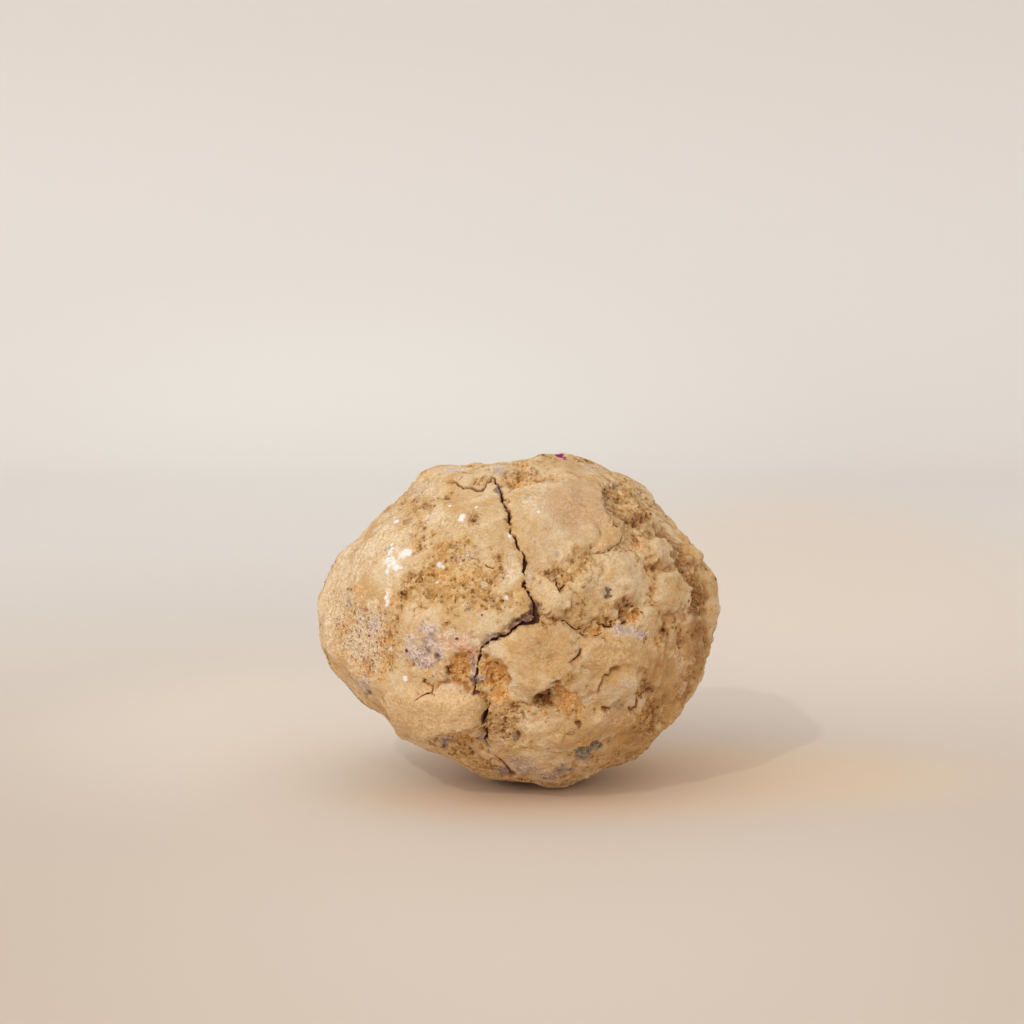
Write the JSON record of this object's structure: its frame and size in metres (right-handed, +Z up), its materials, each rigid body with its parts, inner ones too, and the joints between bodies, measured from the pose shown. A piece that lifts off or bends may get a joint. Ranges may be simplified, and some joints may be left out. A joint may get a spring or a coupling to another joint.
{
  "type": "quartz geode",
  "caption": "Closed, knobbly geode nodule with a rough limestone rind, split by a jagged crack from crown to foot; rests on a small worn flat.",
  "frame": {"origin": "middle of the bounding box, on the surface that the stone rests on", "axes": "+X to the right of someone facing the cracked side, +Y away from them, +Z up"},
  "size_m": [0.0756, 0.069, 0.0624],
  "materials": {
    "limestone_rind": "dry, matt tan limestone and clay rind: smooth pale plates, crumbling ochre hollows, flush lilac-grey crystalline patches, small white specks and purple stains beside the crack"
  },
  "bodies": {
    "root": {"geode": "limestone_rind"}
  },
  "joints": []
}
